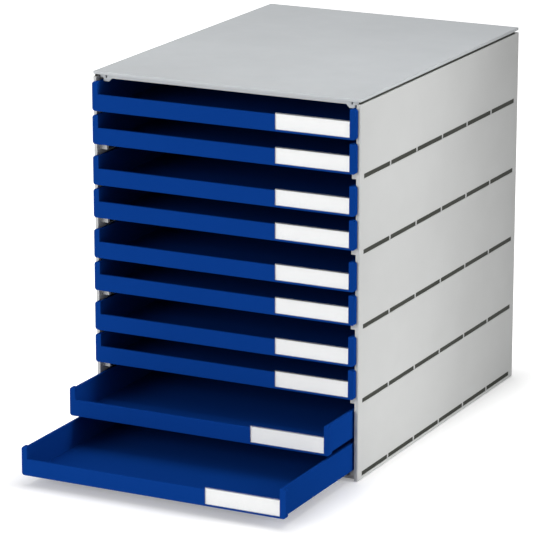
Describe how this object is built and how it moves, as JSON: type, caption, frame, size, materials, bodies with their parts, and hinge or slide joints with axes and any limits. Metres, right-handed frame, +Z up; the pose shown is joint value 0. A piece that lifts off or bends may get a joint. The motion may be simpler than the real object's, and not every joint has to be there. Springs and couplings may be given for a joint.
{
  "type": "desktop drawer organizer",
  "caption": "Free-standing desktop organizer: slotted grey housing with low open-top blue drawers that slide out to the front, each with a card window.",
  "frame": {"origin": "centre of the housing's footprint, on the underside of its base plate", "axes": "+X to the right seen from the front, +Y from the front to the back, +Z up"},
  "size_m": [0.246, 0.46, 0.3236],
  "materials": {
    "grey_panel": "satin",
    "grey_cover": "satin",
    "grey_runner": "satin",
    "blue_drawer": "semi-gloss",
    "white_card": "matte",
    "clear_window": "clear gloss",
    "foot_rubber": "matte"
  },
  "bodies": {
    "housing": {"side_panel_right": "grey_panel", "side_panel_left": "grey_panel", "top_cover": "grey_cover", "base_plate": "grey_panel", "back_panel": "grey_panel", "rubber_feet": "foot_rubber", "cover_strip_right": "grey_runner", "cover_strip_left": "grey_runner", "runner_right_1": "grey_runner", "runner_left_1": "grey_runner", "runner_right_2": "grey_runner", "runner_left_2": "grey_runner", "runner_right_3": "grey_runner", "runner_left_3": "grey_runner", "runner_right_4": "grey_runner", "runner_left_4": "grey_runner", "runner_right_5": "grey_runner", "runner_left_5": "grey_runner"},
    "drawer_01": {"drawer_01": "blue_drawer", "label_card_01": "white_card", "label_window_01": "clear_window"},
    "drawer_02": {"drawer_02": "blue_drawer", "label_card_02": "white_card", "label_window_02": "clear_window"},
    "drawer_03": {"drawer_03": "blue_drawer", "label_card_03": "white_card", "label_window_03": "clear_window"},
    "drawer_04": {"drawer_04": "blue_drawer", "label_card_04": "white_card", "label_window_04": "clear_window"},
    "drawer_05": {"drawer_05": "blue_drawer", "label_card_05": "white_card", "label_window_05": "clear_window"},
    "drawer_06": {"drawer_06": "blue_drawer", "label_card_06": "white_card", "label_window_06": "clear_window"},
    "drawer_07": {"drawer_07": "blue_drawer", "label_card_07": "white_card", "label_window_07": "clear_window"},
    "drawer_08": {"drawer_08": "blue_drawer", "label_card_08": "white_card", "label_window_08": "clear_window"},
    "drawer_09": {"drawer_09": "blue_drawer", "label_card_09": "white_card", "label_window_09": "clear_window"},
    "drawer_10": {"drawer_10": "blue_drawer", "label_card_10": "white_card", "label_window_10": "clear_window"}
  },
  "joints": [
    {"name": "drawer_01_slide", "type": "slide", "parent": "housing", "child": "drawer_01", "axis": [0, -1, 0], "range_m": [0, 0.24]},
    {"name": "drawer_02_slide", "type": "slide", "parent": "housing", "child": "drawer_02", "axis": [0, -1, 0], "range_m": [0, 0.24]},
    {"name": "drawer_03_slide", "type": "slide", "parent": "housing", "child": "drawer_03", "axis": [0, -1, 0], "range_m": [0, 0.24]},
    {"name": "drawer_04_slide", "type": "slide", "parent": "housing", "child": "drawer_04", "axis": [0, -1, 0], "range_m": [0, 0.24]},
    {"name": "drawer_05_slide", "type": "slide", "parent": "housing", "child": "drawer_05", "axis": [0, -1, 0], "range_m": [0, 0.24]},
    {"name": "drawer_06_slide", "type": "slide", "parent": "housing", "child": "drawer_06", "axis": [0, -1, 0], "range_m": [0, 0.24]},
    {"name": "drawer_07_slide", "type": "slide", "parent": "housing", "child": "drawer_07", "axis": [0, -1, 0], "range_m": [0, 0.24]},
    {"name": "drawer_08_slide", "type": "slide", "parent": "housing", "child": "drawer_08", "axis": [0, -1, 0], "range_m": [0, 0.24]},
    {"name": "drawer_09_slide", "type": "slide", "parent": "housing", "child": "drawer_09", "axis": [0, -1, 0], "range_m": [-0.045, 0.195]},
    {"name": "drawer_10_slide", "type": "slide", "parent": "housing", "child": "drawer_10", "axis": [0, -1, 0], "range_m": [-0.125, 0.115]}
  ]
}
